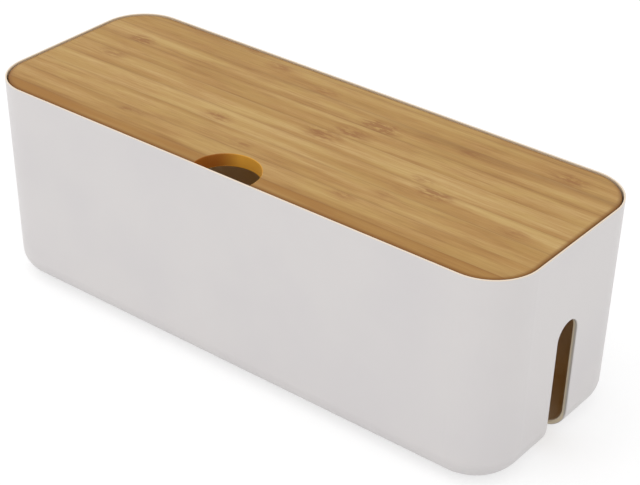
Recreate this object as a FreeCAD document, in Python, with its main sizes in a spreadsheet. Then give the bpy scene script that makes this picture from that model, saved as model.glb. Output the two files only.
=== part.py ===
"""Cable management box: a moulded white shell with a cable slot in each end, a bamboo lid that drops
into a rebate round the rim, and four pads under the floor.

Millimetres, +Z up. The origin is on the table, under the middle of the box; the finger notch of the
lid is at the front, towards -Y, and the length runs along X.
"""
import FreeCAD, Part
import math
import os
import Sketcher

doc = FreeCAD.newDocument("cable_box")

# Driving dimensions, in millimetres
SIZES = [
    ("length", 380, "over the rim, end to end"),
    ("width", 138, "over the rim, front to back"),
    ("height", 134.5, "of the shell, underside to rim"),
    ("corner_radius", 30, "of the four upright corners, seen from above"),
    ("end_taper", 3.3, "how far each end leans in from rim to floor"),
    ("side_taper", 0.8, "how far the front and the back lean in"),
    ("bottom_radius", 15.5, "where the walls run into the floor, outside"),
    ("wall", 3, "thickness of the walls and the floor"),
    ("rim", 1, "thickness of the rim beside the lid"),
    ("rim_rounding", 0.35, "on the rim's upper edges"),
    ("lid_thickness", 8, "of the bamboo board"),
    ("lid_gap", 0.8, "between the lid's edge and the rim"),
    ("lid_drop", 0.2, "of the lid's top below the rim"),
    ("lid_rounding", 1.6, "on the lid's upper edge"),
    ("lid_easing", 0.3, "chamfer on the lid's lower edge"),
    ("notch_diameter", 41, "of the finger notch"),
    ("notch_inset", 3.2, "of its centre behind the lid's front edge"),
    ("notch_easing", 0.5, "rounding on the notch's upper edge"),
    ("front_strip", 9.9, "width of the bamboo strip at the lid's front edge"),
    ("back_strip", 6.1, "width of the bamboo strip at its back edge"),
    ("slot_width", 20, "of the cable slots"),
    ("slot_height", 82, "from the shell's underside to the slot's top"),
    ("slot_reach", 26, "of the slots under the floor, from the rim's end"),
    ("slot_easing", 0.5, "rounding on the slots' edges"),
    ("foot_diameter", 12, "of the pads"),
    ("foot_thickness", 2.1, "of the pads"),
    ("foot_recess", 0.6, "depth of the seats for the pads"),
    ("foot_fit", 0.3, "gap round a pad in its seat"),
    ("foot_rounding", 0.5, "on the pads' lower edge"),
    ("foot_end_inset", 44, "of the pads' centres from the rim's ends"),
    ("foot_side_inset", 36, "of the pads' centres from the rim's sides"),
]

sheet = doc.addObject("Spreadsheet::Sheet", "sizes")
for row, (name, value, meaning) in enumerate(SIZES, start=1):
    sheet.set(f"A{row}", meaning)
    sheet.set(f"B{row}", str(value))
    sheet.setAlias(f"B{row}", name)
doc.recompute()


def size(name):
    return float(sheet.get(name))


# Expressions that several pieces share
STAND = "(sizes.foot_thickness - sizes.foot_recess)"
RIM_TOP = f"({STAND} + sizes.height)"
LEDGE = f"({RIM_TOP} - sizes.lid_drop - sizes.lid_thickness)"
LID_LENGTH = "(sizes.length - 2 * (sizes.rim + sizes.lid_gap))"
LID_WIDTH = "(sizes.width - 2 * (sizes.rim + sizes.lid_gap))"
LID_CORNER = "(sizes.corner_radius - sizes.rim - sizes.lid_gap)"
NOTCH_Y = f"(-{LID_WIDTH} / 2 + sizes.notch_inset)"

# The strips between the front and the back one are equally wide
MIDDLE_STRIPS = 7
STRIP_WIDTH = f"(({LID_WIDTH} - sizes.front_strip - sizes.back_strip) / {MIDDLE_STRIPS})"


def value_of(expression):
    return float(sheet.evalExpression(expression.replace("sizes.", "")))


def new_body(name):
    body = doc.addObject("PartDesign::Body", name)
    body.Label = name
    return body


def new_sketch(body, name, role="XY_Plane", lift=None):
    """A sketch on one of the body's own planes, raised along the plane's normal by an expression."""
    sketch = body.newObject("Sketcher::SketchObject", name)
    plane = next(f for f in body.Origin.OriginFeatures if f.Role == role)
    sketch.AttachmentSupport = [(plane, "")]
    sketch.MapMode = "FlatFace"
    if lift:
        sketch.setExpression("AttachmentOffset.Base.z", lift)
    return sketch


def bind(sketch, name, constraint, expression):
    """Adds a dimension to a sketch and ties it to the sheet."""
    index = sketch.addConstraint(constraint)
    sketch.renameConstraint(index, name)
    sketch.setExpression(f"Constraints.{name}", expression)


def draw_rectangle(sketch, across, deep):
    """A rectangle centred on the sketch's origin."""
    half_x = value_of(across) / 2
    half_y = value_of(deep) / 2
    ends = [(-half_x, -half_y), (half_x, -half_y), (half_x, half_y), (-half_x, half_y)]
    corners = [FreeCAD.Vector(x, y) for x, y in ends]
    side = []
    for k in range(4):
        side.append(sketch.addGeometry(Part.LineSegment(corners[k], corners[(k + 1) % 4])))
    for k in range(4):
        sketch.addConstraint(Sketcher.Constraint("Coincident", side[k], 2, side[(k + 1) % 4], 1))
    for k in (0, 2):
        sketch.addConstraint(Sketcher.Constraint("Horizontal", side[k]))
        sketch.addConstraint(Sketcher.Constraint("Vertical", side[k + 1]))
    sketch.addConstraint(Sketcher.Constraint("Symmetric", side[0], 1, side[2], 1, -1, 1))
    bind(sketch, "across", Sketcher.Constraint("DistanceX", side[0], 1, side[0], 2, 2 * half_x), across)
    bind(sketch, "deep", Sketcher.Constraint("DistanceY", side[1], 1, side[1], 2, 2 * half_y), deep)


def draw_rounded_rectangle(sketch, across, deep, corner):
    """A rectangle with four equal round corners, centred on the sketch's origin."""
    half_x = value_of(across) / 2
    half_y = value_of(deep) / 2
    radius = value_of(corner)
    centre_x = half_x - radius
    centre_y = half_y - radius
    point = FreeCAD.Vector
    lines = [
        (point(-centre_x, -half_y), point(centre_x, -half_y)),
        (point(half_x, -centre_y), point(half_x, centre_y)),
        (point(centre_x, half_y), point(-centre_x, half_y)),
        (point(-half_x, centre_y), point(-half_x, -centre_y)),
    ]
    centres = [
        point(centre_x, -centre_y),
        point(centre_x, centre_y),
        point(-centre_x, centre_y),
        point(-centre_x, -centre_y),
    ]
    side = [sketch.addGeometry(Part.LineSegment(*ends)) for ends in lines]
    bend = []
    for quarter, centre in enumerate(centres):
        start = (quarter - 1) * math.pi / 2
        circle = Part.Circle(centre, FreeCAD.Vector(0, 0, 1), radius)
        bend.append(sketch.addGeometry(Part.ArcOfCircle(circle, start, start + math.pi / 2)))
    for quarter in range(4):
        after = side[(quarter + 1) % 4]
        sketch.addConstraint(Sketcher.Constraint("Tangent", side[quarter], 2, bend[quarter], 1))
        sketch.addConstraint(Sketcher.Constraint("Tangent", bend[quarter], 2, after, 1))
    for k in (0, 2):
        sketch.addConstraint(Sketcher.Constraint("Horizontal", side[k]))
        sketch.addConstraint(Sketcher.Constraint("Vertical", side[k + 1]))
    for k in (1, 2, 3):
        sketch.addConstraint(Sketcher.Constraint("Equal", bend[0], bend[k]))
    sketch.addConstraint(Sketcher.Constraint("Symmetric", bend[0], 3, bend[2], 3, -1, 1))
    bind(sketch, "across", Sketcher.Constraint("DistanceX", side[3], 1, side[1], 1, 2 * half_x), across)
    bind(sketch, "deep", Sketcher.Constraint("DistanceY", side[0], 1, side[2], 1, 2 * half_y), deep)
    bind(sketch, "corner", Sketcher.Constraint("Radius", bend[0], radius), corner)


def draw_circle(sketch, across, centre_x="0", centre_y="0"):
    """A circle of a given diameter, with its centre tied to the sheet."""
    x = value_of(centre_x)
    y = value_of(centre_y)
    radius = value_of(across) / 2
    ring = sketch.addGeometry(Part.Circle(FreeCAD.Vector(x, y), FreeCAD.Vector(0, 0, 1), radius))
    bind(sketch, "diameter", Sketcher.Constraint("Diameter", ring, 2 * radius), across)
    for name, kind, expression, place in (
        ("centre_x", "DistanceX", centre_x, x),
        ("centre_y", "DistanceY", centre_y, y),
    ):
        if expression == "0":
            axis = -2 if kind == "DistanceX" else -1
            sketch.addConstraint(Sketcher.Constraint("PointOnObject", ring, 3, axis))
        else:
            bind(sketch, name, Sketcher.Constraint(kind, -1, 1, ring, 3, place), expression)


def draw_tongue(sketch, across, tip, root, sideways=False):
    """A strip with one half-round end, on the sketch's Y axis, or on its X axis if it runs sideways.

    The round end reaches to tip, and the square end is at root, both measured along the axis.
    """
    radius = value_of(across) / 2
    far = value_of(tip)
    near = value_of(root)
    turn = math.copysign(1, far - near)
    middle = far - turn * radius

    def place(along, beside):
        return FreeCAD.Vector(along, beside) if sideways else FreeCAD.Vector(beside, along)

    left = sketch.addGeometry(Part.LineSegment(place(near, -radius), place(middle, -radius)))
    right = sketch.addGeometry(Part.LineSegment(place(middle, radius), place(near, radius)))
    end = sketch.addGeometry(Part.LineSegment(place(near, radius), place(near, -radius)))
    arc = Part.Arc(place(middle, -radius), place(far, 0), place(middle, radius))
    bend = sketch.addGeometry(arc)
    # An arc is stored anticlockwise, so its first point may be either end
    starts_left = sketch.getPoint(bend, 1).distanceToPoint(place(middle, -radius)) < radius
    first, last = (1, 2) if starts_left else (2, 1)
    sketch.addConstraint(Sketcher.Constraint("Tangent", left, 2, bend, first))
    sketch.addConstraint(Sketcher.Constraint("Tangent", bend, last, right, 1))
    sketch.addConstraint(Sketcher.Constraint("Coincident", right, 2, end, 1))
    sketch.addConstraint(Sketcher.Constraint("Coincident", end, 2, left, 1))
    along, beside = ("Horizontal", "Vertical") if sideways else ("Vertical", "Horizontal")
    sketch.addConstraint(Sketcher.Constraint(along, left))
    sketch.addConstraint(Sketcher.Constraint(beside, end))
    sketch.addConstraint(Sketcher.Constraint("PointOnObject", bend, 3, -1 if sideways else -2))
    bind(sketch, "half_across", Sketcher.Constraint("Radius", bend, radius), f"{across} / 2")
    kind = "DistanceX" if sideways else "DistanceY"
    bind(sketch, "middle", Sketcher.Constraint(kind, -1, 1, bend, 3, middle),
         f"{tip} - {int(turn)} * {across} / 2")
    bind(sketch, "root", Sketcher.Constraint(kind, -1, 1, end, 1, near), root)


def edges_at(feature, height, inside=None, tolerance=1e-4):
    """Names of a feature's edges that lie flat at a height, of those that pass a test of a point."""
    found = []
    for number, edge in enumerate(feature.Shape.Edges, start=1):
        box = edge.BoundBox
        if abs(box.ZMin - height) > tolerance or abs(box.ZMax - height) > tolerance:
            continue
        middle = edge.valueAt((edge.FirstParameter + edge.LastParameter) / 2)
        if inside is None or inside(middle):
            found.append(f"Edge{number}")
    return found


def upright_edges(feature):
    """Names of a feature's straight edges that run from its lowest level to its highest."""
    whole = feature.Shape.BoundBox
    found = []
    for number, edge in enumerate(feature.Shape.Edges, start=1):
        if abs(edge.BoundBox.ZLength - whole.ZLength) < 1e-4:
            found.append(f"Edge{number}")
    return found


def slot_edges(feature):
    """Names of the edges round the cable slots, inside and outside the wall."""
    half_slot = size("slot_width") / 2
    reach = size("length") / 2 - size("slot_reach")
    found = []
    for number, edge in enumerate(feature.Shape.Edges, start=1):
        box = edge.BoundBox
        across = max(abs(box.YMin), abs(box.YMax))
        nearest = min(abs(box.XMin), abs(box.XMax))
        if across < half_slot + 1e-3 and nearest > reach - 1e-3:
            found.append(f"Edge{number}")
    return found


def flat_face(feature, height):
    """Name of the level face at a height."""
    for number, face in enumerate(feature.Shape.Faces, start=1):
        box = face.BoundBox
        if abs(box.ZMin - height) < 1e-4 and abs(box.ZMax - height) < 1e-4:
            return f"Face{number}"
    raise RuntimeError(f"no level face at {height}")


def add_lean(body, name, base, axis, inset):
    """Leans the two walls that face along an axis inwards, from the rim down, by an inset."""
    walls = []
    for number, face in enumerate(base.Shape.Faces, start=1):
        normal = face.normalAt(0, 0)
        if abs(normal[axis]) > 0.9:
            walls.append(f"Face{number}")
    lean = body.newObject("PartDesign::Draft", name)
    lean.Base = (base, walls)
    lean.NeutralPlane = (base, [flat_face(base, value_of(RIM_TOP))])
    lean.Reversed = True
    lean.setExpression("Angle", f"atan({inset} / sizes.height)")
    doc.recompute()
    must_change(name, base.Shape, lean.Shape)
    return lean


def add_fillet(body, name, base, edges, radius):
    fillet = body.newObject("PartDesign::Fillet", name)
    fillet.Base = (base, edges)
    fillet.setExpression("Radius", radius)
    doc.recompute()
    return fillet


def must_change(name, before, after):
    """Stops the build where a cut took nothing away."""
    if abs(before.Volume - after.Volume) < 1e-3:
        raise RuntimeError(f"{name} cut nothing")


def build_shell():
    """The white moulded shell, one piece: walls, floor, rebate for the lid, slots and pad seats."""
    shell = new_body("box_shell")

    block_outline = new_sketch(shell, "rim_outline", lift=RIM_TOP)
    draw_rectangle(block_outline, "sizes.length", "sizes.width")
    block = shell.newObject("PartDesign::Pad", "block")
    block.Profile = block_outline
    block.Reversed = True
    block.setExpression("Length", "sizes.height")
    doc.recompute()

    ends_lean = add_lean(shell, "ends_lean_in", block, 0, "sizes.end_taper")
    sides_lean = add_lean(shell, "sides_lean_in", ends_lean, 1, "sizes.side_taper")
    corners = add_fillet(shell, "rounded_corners", sides_lean,
                         upright_edges(sides_lean), "sizes.corner_radius")
    rounded = add_fillet(shell, "rounded_bottom", corners,
                         edges_at(corners, value_of(STAND)), "sizes.bottom_radius")

    smooth = shell.newObject("PartDesign::Thickness", "hollow")
    smooth.Base = (rounded, [flat_face(rounded, value_of(RIM_TOP))])
    smooth.Reversed = True
    smooth.setExpression("Value", "sizes.wall")
    doc.recompute()
    must_change("the hollow", rounded.Shape, smooth.Shape)

    rebate_outline = new_sketch(shell, "lid_rebate_outline", lift=RIM_TOP)
    draw_rounded_rectangle(rebate_outline, "(sizes.length - 2 * sizes.rim)",
                           "(sizes.width - 2 * sizes.rim)", "(sizes.corner_radius - sizes.rim)")
    rebate = shell.newObject("PartDesign::Pocket", "lid_rebate")
    rebate.Profile = rebate_outline
    rebate.setExpression("Length", "sizes.lid_drop + sizes.lid_thickness")
    doc.recompute()
    must_change("the rebate", smooth.Shape, rebate.Shape)

    eased = add_fillet(shell, "eased_rim", rebate,
                       edges_at(rebate, value_of(RIM_TOP)), "sizes.rim_rounding")

    # Above the bottom's bend nothing but the end walls lies in the slots' way along X
    bend_top = f"({STAND} + sizes.bottom_radius)"
    slot_outline = new_sketch(shell, "wall_slot_outline", role="YZ_Plane")
    draw_tongue(slot_outline, "sizes.slot_width", f"({STAND} + sizes.slot_height)", bend_top)
    wall_slots = shell.newObject("PartDesign::Pocket", "wall_slots")
    wall_slots.Profile = slot_outline
    wall_slots.Type = "Length"
    wall_slots.Midplane = True
    wall_slots.setExpression("Length", "2 * sizes.length")
    doc.recompute()
    must_change("the wall slots", eased.Shape, wall_slots.Shape)

    before = wall_slots
    for side, sign in (("left", "-1"), ("right", "1")):
        outline = new_sketch(shell, f"{side}_floor_slot_outline")
        draw_tongue(outline, "sizes.slot_width",
                    f"({sign} * (sizes.length / 2 - sizes.slot_reach))",
                    f"({sign} * sizes.length)", sideways=True)
        floor_slot = shell.newObject("PartDesign::Pocket", f"{side}_floor_slot")
        floor_slot.Profile = outline
        floor_slot.Reversed = True
        floor_slot.setExpression("Length", bend_top)
        doc.recompute()
        must_change(f"the {side} floor slot", before.Shape, floor_slot.Shape)
        before = floor_slot

    before = add_fillet(shell, "eased_slots", before, slot_edges(before), "sizes.slot_easing")

    for name, x, y in foot_places():
        outline = new_sketch(shell, f"seat_of_{name}")
        draw_circle(outline, "(sizes.foot_diameter + 2 * sizes.foot_fit)", x, y)
        seat = shell.newObject("PartDesign::Pocket", f"cut_for_{name}")
        seat.Profile = outline
        seat.Reversed = True
        seat.setExpression("Length", f"{STAND} + sizes.foot_recess")
        doc.recompute()
        must_change(f"the seat of {name}", before.Shape, seat.Shape)
        before = seat
    shell.Tip = before
    return shell


def foot_places():
    """Name and centre of each pad, as expressions."""
    x = "(sizes.length / 2 - sizes.foot_end_inset)"
    y = "(sizes.width / 2 - sizes.foot_side_inset)"
    return [
        ("foot_front_left", f"(-{x})", f"(-{y})"),
        ("foot_front_right", x, f"(-{y})"),
        ("foot_back_left", f"(-{x})", y),
        ("foot_back_right", x, y),
    ]


def build_foot(name, x, y):
    """A soft pad stuck into its seat under the floor; its lower edge is rounded."""
    foot = new_body(name)
    disc_outline = new_sketch(foot, f"{name}_outline")
    draw_circle(disc_outline, "sizes.foot_diameter", x, y)
    disc = foot.newObject("PartDesign::Pad", f"{name}_disc")
    disc.Profile = disc_outline
    disc.setExpression("Length", "sizes.foot_thickness")
    doc.recompute()
    add_fillet(foot, f"{name}_edge", disc, edges_at(disc, 0), "sizes.foot_rounding")
    return foot


def build_lid_board():
    """The glued bamboo board in one piece, before it is told apart into its strips."""
    board = new_body("lid_board")
    outline = new_sketch(board, "lid_outline", lift=LEDGE)
    draw_rounded_rectangle(outline, LID_LENGTH, LID_WIDTH, LID_CORNER)
    panel = board.newObject("PartDesign::Pad", "lid_panel")
    panel.Profile = outline
    panel.setExpression("Length", "sizes.lid_thickness")
    doc.recompute()

    top = value_of(LEDGE) + size("lid_thickness")
    rounded = add_fillet(board, "lid_top_edge", panel, edges_at(panel, top), "sizes.lid_rounding")
    eased = board.newObject("PartDesign::Chamfer", "lid_lower_edge")
    eased.Base = (rounded, edges_at(rounded, value_of(LEDGE)))
    eased.setExpression("Size", "sizes.lid_easing")
    doc.recompute()

    notch_outline = new_sketch(board, "notch_outline", lift=LEDGE)
    draw_circle(notch_outline, "sizes.notch_diameter", centre_y=NOTCH_Y)
    notch = board.newObject("PartDesign::Pocket", "finger_notch")
    notch.Profile = notch_outline
    notch.Reversed = True
    notch.setExpression("Length", "2 * sizes.lid_thickness")
    doc.recompute()
    must_change("the finger notch", eased.Shape, notch.Shape)

    centre = FreeCAD.Vector(0, value_of(NOTCH_Y), top)
    radius = size("notch_diameter") / 2
    arc = edges_at(notch, top, lambda p: abs(p.distanceToPoint(centre) - radius) < 0.01)
    add_fillet(board, "notch_top_edge", notch, arc, "sizes.notch_easing")
    return board


def build_strips(board):
    """The bamboo strips that the lid is glued up from, numbered from the front."""
    outer_front = "(-sizes.width / 2)"
    first_line = f"(-{LID_WIDTH} / 2 + sizes.front_strip)"
    glue_lines = [f"({first_line} + {k} * {STRIP_WIDTH})" for k in range(MIDDLE_STRIPS + 1)]
    limits = [outer_front] + glue_lines + ["(sizes.width / 2)"]
    strips = []
    for number, (front, back) in enumerate(zip(limits, limits[1:]), start=1):
        name = f"lid_strip_{number}"
        blank = doc.addObject("Part::Box", f"blank_{number}")
        blank.setExpression("Length", "sizes.length")
        blank.setExpression("Width", f"{back} - {front}")
        blank.setExpression("Height", "sizes.lid_thickness")
        blank.setExpression("Placement.Base.x", "-sizes.length / 2")
        blank.setExpression("Placement.Base.y", front)
        blank.setExpression("Placement.Base.z", LEDGE)
        strip = doc.addObject("Part::Common", name)
        strip.Label = name
        strip.Base = board
        strip.Tool = blank
        strips.append(strip)
    doc.recompute()
    return strips


pieces = [build_shell()]
pieces += [build_foot(*place) for place in foot_places()]
pieces += build_strips(build_lid_board())
doc.recompute()

for item in doc.Objects:
    wrong = [state for state in item.State if state in ("Invalid", "Error")]
    if wrong:
        raise RuntimeError(f"{item.Label} is {wrong[0]}")

os.makedirs("parts", exist_ok=True)
for piece in pieces:
    shape = piece.Shape
    if shape.isNull() or not shape.isValid() or not shape.Solids:
        raise RuntimeError(f"{piece.Label} has no sound solid")
    shape.exportStep(f"parts/{piece.Label}.step")
    print(piece.Label, len(shape.Solids), "solid(s),", round(shape.Volume / 1000, 2), "cm3")
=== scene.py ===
"""Cable management box: a white moulded shell with a bamboo lid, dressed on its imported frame.

Metres, in the frame's own axes: +X along the box, the lid's finger notch towards -Y, +Z up.
"""
import math

import bpy
from mathutils import Matrix, Vector


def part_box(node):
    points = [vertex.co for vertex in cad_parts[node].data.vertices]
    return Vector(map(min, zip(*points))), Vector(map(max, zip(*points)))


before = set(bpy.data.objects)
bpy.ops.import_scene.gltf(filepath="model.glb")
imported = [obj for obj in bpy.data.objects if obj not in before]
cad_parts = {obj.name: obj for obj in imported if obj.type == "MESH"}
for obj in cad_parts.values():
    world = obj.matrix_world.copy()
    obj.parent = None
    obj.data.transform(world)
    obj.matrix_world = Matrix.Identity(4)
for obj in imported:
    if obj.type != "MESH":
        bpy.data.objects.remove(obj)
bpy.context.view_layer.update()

# The camera stands in front of the box's right corner and looks down on the lid, with a long lens.
# It leans by under a degree, as a hand-held camera does.
camera_turn = math.radians(38.04)
camera_height = math.radians(31.45)
camera_lean = math.radians(0.885)
camera_distance = 1.0689
camera_sideways = 0.01356
camera_lower = 0.0061
lens_length = 100.43
film_width = 36
farthest_seen = 50
looked_at = Vector((0, 0, 0.0665))

away = Vector((
    math.sin(camera_turn) * math.cos(camera_height),
    -math.cos(camera_turn) * math.cos(camera_height),
    math.sin(camera_height),
))
level_right = Vector((math.cos(camera_turn), math.sin(camera_turn), 0))
level_up = away.cross(level_right)
right = level_right * math.cos(camera_lean) + level_up * math.sin(camera_lean)
up = level_up * math.cos(camera_lean) - level_right * math.sin(camera_lean)
camera = bpy.data.objects.new("camera", bpy.data.cameras.new("camera"))
camera.data.lens = lens_length
camera.data.sensor_width = film_width
camera.data.clip_end = farthest_seen
camera.matrix_world = Matrix.Translation(
    looked_at + away * camera_distance + right * camera_sideways - up * camera_lower
) @ Matrix((right, up, away)).transposed().to_4x4()
bpy.context.scene.collection.objects.link(camera)
bpy.context.scene.camera = camera
bpy.context.scene.view_settings.view_transform = "Standard"

# The stage is a wide white sheet under the box, and white all round it. It isn't part of the box.
# It is as pale as the ground in a catalogue picture, and keeps the box's soft shadow.
sheet_width = 8.0

# What the sheet and the sky give to the box as light, and how the camera sees them
sheet_white = (0.74, 0.74, 0.74, 1)
shown_white = (0.42, 0.42, 0.42, 1)
shown_glow = (0.64, 0.64, 0.64, 1)
sky_white = (0.80, 0.80, 0.80, 1)
background_white = (1, 1, 1, 1)
no_light = (0, 0, 0, 1)

half = sheet_width / 2
corners = [(-half, -half, 0), (half, -half, 0), (half, half, 0), (-half, half, 0)]
stage_mesh = bpy.data.meshes.new("white_sheet")
stage_mesh.from_pydata(corners, [], [(0, 1, 2, 3)])
stage = bpy.data.objects.new("white_sheet", stage_mesh)
bpy.context.scene.collection.objects.link(stage)


class Signal:
    """A value, a colour or a vector on its way through one material's nodes."""

    def __init__(self, tree, socket=None):
        self.tree = tree
        self.socket = socket

    def node(self, kind, settings=(), inputs=(), output=0):
        """Adds a node: its settings first, then values or signals for its inputs, by name or number."""
        made = self.tree.nodes.new(kind)
        for name, value in dict(settings).items():
            if name == "stops":
                for stop in value[2:]:
                    made.color_ramp.elements.new(stop[0])
                for element, (place, colour) in zip(made.color_ramp.elements, value):
                    element.position = place
                    element.color = colour
            else:
                setattr(made, name, value)
        for name, value in dict(inputs).items():
            if isinstance(value, Signal):
                self.tree.links.new(value.socket, made.inputs[name])
            else:
                made.inputs[name].default_value = value
        return Signal(self.tree, made.outputs[output])

    def output(self, name):
        """Another output of the node that this signal comes from."""
        return Signal(self.tree, self.socket.node.outputs[name])

    def math(self, operation, *others):
        return self.node("ShaderNodeMath", {"operation": operation}, dict(enumerate((self, *others))))

    def __add__(self, other):
        return self.math("ADD", other)

    __radd__ = __add__

    def __sub__(self, other):
        return self.math("SUBTRACT", other)

    def __rsub__(self, other):
        return self.node("ShaderNodeMath", {"operation": "SUBTRACT"}, {0: other, 1: self})

    def __mul__(self, other):
        return self.math("MULTIPLY", other)

    __rmul__ = __mul__

    def __abs__(self):
        return self.math("ABSOLUTE")

    def root(self):
        return self.math("SQRT")

    def at_least(self, other):
        return self.math("MAXIMUM", other)

    def at_most(self, other):
        return self.math("MINIMUM", other)

    def fade(self, start, end):
        """0 before start and 1 past end, with a smooth run between them; end may lie below start."""
        run = self.node(
            "ShaderNodeMapRange",
            {"interpolation_type": "SMOOTHSTEP"},
            {"Value": self, "From Min": min(start, end), "From Max": max(start, end)},
        )
        return run if start < end else 1 - run

    def noise(self, stretch, seed=0.0, detail=2.0, rough=0.5):
        """Cloudy 0 to 1 noise over a place in metres, with so many swings a metre along each axis."""
        spread = self.node(
            "ShaderNodeMapping",
            inputs={"Vector": self, "Location": (seed, seed * 1.7, seed * 2.3), "Scale": stretch},
        )
        return self.node(
            "ShaderNodeTexNoise",
            inputs={"Vector": spread, "Scale": 1.0, "Detail": detail, "Roughness": rough},
        )

    def mix(self, first, second):
        """Between two colours, with this value as the share of the second."""
        return self.node("ShaderNodeMix", {"data_type": "RGBA"}, {0: self, 6: first, 7: second}, output=2)

    def bump(self, strength, relief=0.0002):
        """The surface's direction, roughened by this value as a share of the relief, in metres."""
        return self.node(
            "ShaderNodeBump",
            inputs={"Strength": strength, "Distance": relief, "Height": self},
        )


def new_material(name):
    """An empty material, its shader and the signal that its nodes grow from."""
    material = bpy.data.materials.new(name)
    material.use_nodes = True
    return material, material.node_tree.nodes["Principled BSDF"], Signal(material.node_tree)


def feed(shader, **signals):
    """Links signals to a shader's inputs; an underscore in a name stands for a space."""
    for name, signal in signals.items():
        signal.tree.links.new(signal.socket, shader.inputs[name.replace("_", " ")])


def rays_that_show_the_ground(start):
    """1 for rays from the camera or off a gloss, which meet the ground as it is shown."""
    path = start.node("ShaderNodeLightPath")
    return path.output("Is Camera Ray").at_least(path.output("Is Glossy Ray"))


sheet_paper, sheet_shader, start = new_material("sheet_paper")
shown = rays_that_show_the_ground(start)
feed(
    sheet_shader,
    Base_Color=shown.mix(sheet_white, shown_white),
    Emission_Color=shown.mix(no_light, shown_glow),
)
sheet_shader.inputs["Emission Strength"].default_value = 1.0
sheet_shader.inputs["Roughness"].default_value = 1.0
sheet_shader.inputs["Specular IOR Level"].default_value = 0.0
stage.data.materials.append(sheet_paper)

world = bpy.data.worlds.new("studio")
bpy.context.scene.world = world
world.use_nodes = True
sky = rays_that_show_the_ground(Signal(world.node_tree)).mix(sky_white, background_white)
feed(world.node_tree.nodes["Background"], Color=sky)


def add_softbox(name, place, width, depth, power):
    """A soft lamp that faces the middle of the box."""
    lamp = bpy.data.lights.new(name, "AREA")
    lamp.shape = "RECTANGLE"
    lamp.size = width
    lamp.size_y = depth
    lamp.energy = power
    holder = bpy.data.objects.new(name, lamp)
    holder.location = place
    holder.rotation_euler = (looked_at - Vector(place)).to_track_quat("-Z", "Y").to_euler()
    bpy.context.scene.collection.objects.link(holder)


add_softbox("overhead_softbox", place=(-0.4, -0.4, 1.9), width=1.6, depth=1.2, power=6.5)
add_softbox("front_softbox", place=(-0.9, -1.7, 1.0), width=1.2, depth=1.0, power=4.5)
add_softbox("end_softbox", place=(1.8, -0.5, 0.9), width=1.0, depth=1.0, power=3.5)

# The shell is one injection moulding in white polypropylene, with a satin, finely eroded skin. The lid
# lies on the ledge of the rebate inside its rim, and a slot in each end lets the leads out. The rim, the
# rebate, the inner edges of the slots and, a little, the inside are tinted cream: painted warm light,
# thrown back by the bamboo lid. A grey band on the slots' cut faces is painted shade.
shell_low, shell_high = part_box("box_shell")
end_taper = 0.0033
slot_half_width = 0.010

# Where the painted warm light starts and where it is full: below the rim's top, behind the end wall's
# outer face and above the ledge
rim_painted_light_depth = (0.0006, 0.0001)
slot_painted_light_depth = (0.0012, 0.0022)
rebate_painted_light_rise = (-0.0005, 0.0005)


def srgb(red, green, blue):
    """A colour as a screen shows it, 0 to 255 each, in the linear values that a material takes."""
    def linear(value):
        share = value / 255
        return share / 12.92 if share <= 0.04045 else ((share + 0.055) / 1.055) ** 2.4
    return (linear(red), linear(green), linear(blue), 1)


def paint(node, material):
    """Gives a node of the frame its finish."""
    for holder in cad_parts[node].material_slots:
        holder.material = material


shell_white = srgb(223, 219, 218)
shell_cloud = srgb(220, 216, 216)
# painted warm light on the rim's top, thrown back by the bamboo lid
rim_painted_warm_light = srgb(236, 219, 198)
# painted shade on the slots' cut faces, grey, and painted warm light at their inner edges, cream
slot_painted_shade_grey = srgb(206, 203, 196)
slot_painted_warm_light = srgb(242, 229, 200)
# painted warm light inside the white shell and, stronger, on the rebate, thrown back by the bamboo lid
inside_painted_warm_light = srgb(224, 213, 191)
rebate_painted_warm_light = srgb(233, 215, 188)

plastic, plastic_shader, start = new_material("shell_plastic")
place = start.node("ShaderNodeTexCoord", output=3)
x = place.node("ShaderNodeSeparateXYZ", inputs={0: place})
height = x.output("Z")

# How far each face lies from the shell's middle, measured the way it faces: the inner walls face back
# to the middle, so theirs is well below zero, and a slot's sides have minus half the slot's width
middle = (shell_low + shell_high) / 2
from_middle = place.node("ShaderNodeVectorMath", {"operation": "SUBTRACT"}, {0: place, 1: middle})
facing = from_middle.node(
    "ShaderNodeVectorMath",
    {"operation": "DOT_PRODUCT"},
    {0: from_middle, 1: place.output("Normal")},
    output=1,
)
inside = facing.fade(-3 * slot_half_width, -5 * slot_half_width)
in_slot = facing.fade(-0.4 * slot_half_width, -0.85 * slot_half_width)
in_slot = in_slot * facing.fade(-3 * slot_half_width, -2 * slot_half_width)

cloud = place.noise((14, 14, 14), detail=3)
grain = place.noise((2600, 2600, 2600), seed=0.3, detail=2, rough=0.6)
# the rim's top is tinted cream: painted warm light from the bamboo lid over the white plastic
rim_painted_light_mask = (shell_high.z - height).fade(*rim_painted_light_depth)
outer_white_and_rim_painted_light = rim_painted_light_mask.mix(cloud.fade(0.35, 0.7).mix(shell_white, shell_cloud), rim_painted_warm_light)

end_lean = end_taper / (shell_high.z - shell_low.z)
into_wall = shell_high.x - (shell_high.z - height) * end_lean - abs(x)
# the slots' cut faces: grey painted shade at the outer side, cream painted warm light at the inner edge
slot_painted_shade_and_light = into_wall.fade(*slot_painted_light_depth).mix(slot_painted_shade_grey, slot_painted_warm_light)

# The lid's underside lies on the ledge
ledge_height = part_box("lid_strip_5")[0].z
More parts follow.
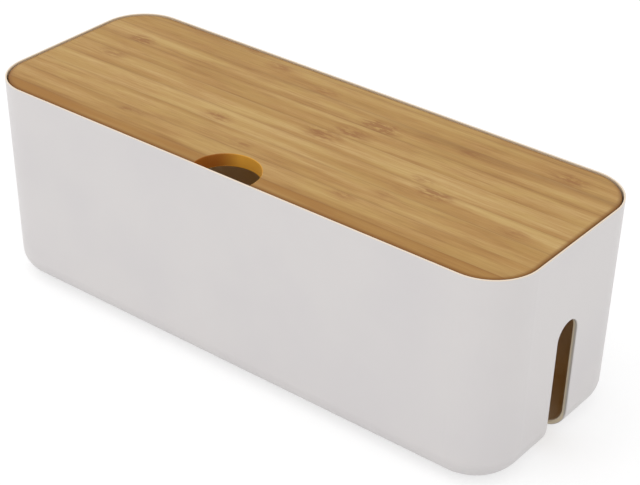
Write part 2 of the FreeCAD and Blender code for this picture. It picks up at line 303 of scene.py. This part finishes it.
# above the ledge the rebate takes a stronger painted warm light than the inside below it
inner_painted_warm_light = (height - ledge_height).fade(*rebate_painted_light_rise).mix(inside_painted_warm_light, rebate_painted_warm_light)
feed(
    plastic_shader,
    Base_Color=inside.mix(in_slot.mix(outer_white_and_rim_painted_light, slot_painted_shade_and_light), inner_painted_warm_light),
    Roughness=0.36 + 0.08 * cloud,
    Normal=grain.bump(0.12),
)
plastic_shader.inputs["IOR"].default_value = 1.49
paint("box_shell", plastic)

# Four round pads of grey rubber, die-cut from sheet and stuck into their seats under the floor.
# Their skin is matt and dusty, with the fine pits of foamed sheet.
pad_grey = srgb(96, 96, 95)
pad_dust = srgb(128, 126, 122)
rubber, rubber_shader, start = new_material("pad_rubber")
place = start.node("ShaderNodeTexCoord", output=3)
dust = place.noise((420, 420, 420), detail=3)
pits = place.noise((2200, 2200, 2200), seed=1.1, detail=1)
feed(
    rubber_shader,
    Base_Color=dust.fade(0.45, 0.75).mix(pad_grey, pad_dust),
    Roughness=0.72 + 0.2 * dust,
    Normal=pits.bump(0.5),
)
for side in ("front_left", "front_right", "back_left", "back_right"):
    paint(f"foot_{side}", rubber)

# The lid is nine strips of bamboo, glued edge to edge, sanded flush and oiled, and it lies loose in the
# rebate. Each strip is its own cut of the culm, with its own tone, fibres and nodes. The sides and the
# notch drink more of the oil; the browner edges are also painted shade from the gap by the rim. A faint
# glow underneath stands in for the warm light in the closed box.
bamboo_dark = srgb(150, 110, 58)
bamboo_mid = srgb(182, 142, 84)
bamboo_light = srgb(199, 165, 108)
bamboo_gold = srgb(192, 162, 92)
bamboo_orange = srgb(158, 109, 43)
bamboo_stain = srgb(144, 92, 46)
glue_brown = srgb(126, 82, 36)
# browner edges: partly the oil the sides drink, partly painted shade of the gap by the rim
edge_oil_and_painted_shade = srgb(128, 84, 36)
notch_orange = srgb(222, 160, 52)
# the notch's wall turns darker towards its left end
notch_left_dark = srgb(156, 86, 12)
underside_glow = (0.112, 0.050, 0.001, 1)

strip_names = [f"lid_strip_{number}" for number in range(1, 10)]
lid_low = Vector(map(min, *[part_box(name)[0] for name in strip_names]))
lid_high = Vector(map(max, *[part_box(name)[1] for name in strip_names]))
shell_corner = 0.030
lid_corner = shell_corner - (shell_high.x - lid_high.x)
edge_round = 0.0016
notch_radius = 0.0205
notch_behind_edge = 0.0032
notch_y = lid_low.y + notch_behind_edge

# A node's half length and half width at size 1, and how far the fibres swing aside round it
node_length = 0.0135
node_width = 0.0066
node_swing = 0.0030

# The glue line's half width, its groove, the wood that the glue darkens, and the wider dark stretch
# in front of a glue line, with the x where it starts and where it is full
glue_line = 0.0005
glue_groove = 0.0003
glue_soak = 0.0026
wide_soak = 0.0075
wide_soak_x = (-0.02, 0.09)

# Where a tone starts and where it is full: how far out from the notch's wall, at which x that wall turns
# darker towards its left, and how far above the underside
notch_wall_depth = (0.0006, 0.0001)
notch_dark_x = (-0.004, -0.018)
underside_depth = (0.0004, 0.0001)

# Each strip's noise starts from a seed of its own
first_seed = 0.37
seed_step = 1.9

# Each strip, from the front: how light it is, how orange, how dark the stretch in front of its back
# glue line, and its nodes as x, y, size and depth of stain
strips = [
    (-0.42, 1.00, 0.00, []),
    (-0.14, 0.20, 0.00, [
        (-0.092, -0.0440, 1.0, 0.6),
        (0.066, -0.0430, 1.1, 0.6),
    ]),
    (-0.04, 0.10, 0.00, [
        (-0.014, -0.0340, 1.0, 0.6),
        (0.083, -0.0285, 0.9, 0.4),
    ]),
    (0.24, 0.00, 0.00, [
        (-0.047, -0.0170, 1.1, 0.8),
        (0.104, -0.0102, 1.3, 1.2),
        (0.160, -0.0175, 1.0, 0.5),
    ]),
    (0.14, 0.05, 0.00, [
        (0.014, 0.0055, 1.6, 0.9),
        (0.090, -0.0020, 1.0, 0.6),
        (-0.154, 0.0060, 1.3, 0.6),
    ]),
    (-0.02, 0.05, 0.00, [
        (0.025, 0.0160, 1.6, 0.8),
    ]),
    (-0.08, 0.05, 0.36, [
        (-0.153, 0.0315, 1.1, 1.2),
        (0.035, 0.0330, 1.5, 1.5),
        (0.092, 0.0400, 1.0, 0.6),
    ]),
    (0.00, 0.05, 0.00, [
        (-0.018, 0.0485, 1.2, 0.6),
        (0.153, 0.0500, 1.5, 0.9),
        (-0.061, 0.0570, 1.1, 0.7),
    ]),
    (-0.20, 0.05, 0.00, [
        (-0.085, 0.0640, 0.9, 0.7),
    ]),
]


def bamboo(name, seed, light, orange, soak, marks):
    """One strip's wood: long fibres, a few nodes, darker glue lines, edges and cut faces."""
    low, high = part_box(name)
    material, shader, start = new_material(name + "_bamboo")
    place = start.node("ShaderNodeTexCoord", output=3)
    x = place.node("ShaderNodeSeparateXYZ", inputs={0: place})
    y = x.output("Y")
    z = x.output("Z")

    # The fibres swing round each node, and the stain there is broken up along them
    swing = 0.0
    stain = 0.0
    patch = place.noise((110, 420, 420), seed, detail=3, rough=0.65)
    for mark_x, mark_y, mark_size, depth in marks:
        along = (x - mark_x) * (1 / (node_length * mark_size))
        beside = (y - mark_y) * (1 / (node_width * mark_size))
        near = (along * along + beside * beside).root().fade(1.0, 0.05)
        swing = swing + near * beside * (node_swing * mark_size)
        stain = stain + near * patch.fade(0.34, 0.62) * depth
    run = start.node("ShaderNodeCombineXYZ", inputs={0: x, 1: y - swing, 2: z})

    # From broad bands down to single hairs; bundles are the short dark flecks of the cut fibres
    band = run.noise((6, 95, 95), seed, detail=1)
    flow = run.noise((16, 240, 240), seed + 1.3, detail=2)
    fibre = run.noise((36, 760, 760), seed + 3.1, detail=3, rough=0.6)
    hair = run.noise((90, 2400, 2400), seed + 5.7, detail=2, rough=0.6)
    bundle = run.noise((110, 1900, 1900), seed + 8.3, detail=1).fade(0.60, 0.74)
    gold = run.noise((30, 100, 100), seed + 15.1, detail=2).fade(0.36, 0.66)
    tone = 0.5 + 0.45 * (band - 0.5) + 0.50 * (flow - 0.5) + 0.60 * (fibre - 0.5) + 0.40 * (hair - 0.5)
    wood = start.node(
        "ShaderNodeValToRGB",
        {"stops": [(0.20, bamboo_dark), (0.5, bamboo_mid), (0.8, bamboo_light)]},
        {0: tone + 0.3 * light},
    )
    wood = (bundle * 0.16).mix(wood, bamboo_dark)
    wood = (gold * 0.30).mix(wood, bamboo_gold)
    wood = (band.fade(0.62, 0.38) * 0.30 + 0.6 * orange).at_most(1.0).mix(wood, bamboo_orange)
    if marks:
        wood = stain.at_most(0.75).mix(wood, bamboo_stain)

    # The glue line on each long side is thin, and darker along some stretches than others
    to_glue = (y - low.y).at_least(0.0).at_most(high.y - y)
    bond = run.noise((9, 20, 20), seed + 11.9, detail=2).fade(0.34, 0.66)
    glue = to_glue.fade(glue_line, 0.0) * 0.34 + to_glue.fade(glue_soak, 0.0) * 0.20
    wood = (glue * (0.25 + 0.75 * bond)).mix(wood, glue_brown)
    if soak:
        ahead = (high.y - y).fade(wide_soak, glue_line) * x.fade(*wide_soak_x)
        wood = (ahead * soak).mix(wood, glue_brown)

    # Over the edge's round the sides turn browner, partly from the oil they drink and partly as painted
    # shade of the gap by the rim; the notch's wall turns orange, and darker towards its left end
    past_x = (abs(x) - (lid_high.x - lid_corner)).at_least(0.0)
    past_y = (abs(y) - (lid_high.y - lid_corner)).at_least(0.0)
    from_edge = lid_corner - (past_x * past_x + past_y * past_y).root()
    # darker towards the lid's edges: partly oil, partly painted shade of the gap by the rim
    wood = (from_edge.fade(edge_round * 2.0, 0.0) * 0.85).mix(wood, edge_oil_and_painted_shade)
    from_notch = y - notch_y
    reach = (x * x + from_notch * from_notch).root() - notch_radius
    # the notch's wall is orange, darker towards its left end
    notch_wall_colour = x.fade(*notch_dark_x).mix(notch_orange, notch_left_dark)
    wood = (reach.fade(*notch_wall_depth) * (0.8 + 0.2 * fibre)).mix(wood, notch_wall_colour)

    # The pores and the glue's groove can be felt, and nothing but the underside glows
    relief = 0.6 * fibre + 0.4 * hair - bundle * 0.3 - to_glue.fade(glue_groove, 0.0) * 0.4
    underside = (z - lid_low.z).fade(*underside_depth)
    feed(
        shader,
        Base_Color=wood,
        Emission_Color=underside.mix(no_light, underside_glow),
        Roughness=0.48 + 0.16 * fibre + 0.1 * bundle,
        Normal=relief.bump(0.22),
    )
    shader.inputs["Emission Strength"].default_value = 1.0
    shader.inputs["IOR"].default_value = 1.48
    shader.inputs["Specular IOR Level"].default_value = 0.3
    return material


for number, (strip, look) in enumerate(zip(strip_names, strips)):
    paint(strip, bamboo(strip, first_seed + seed_step * number, *look))
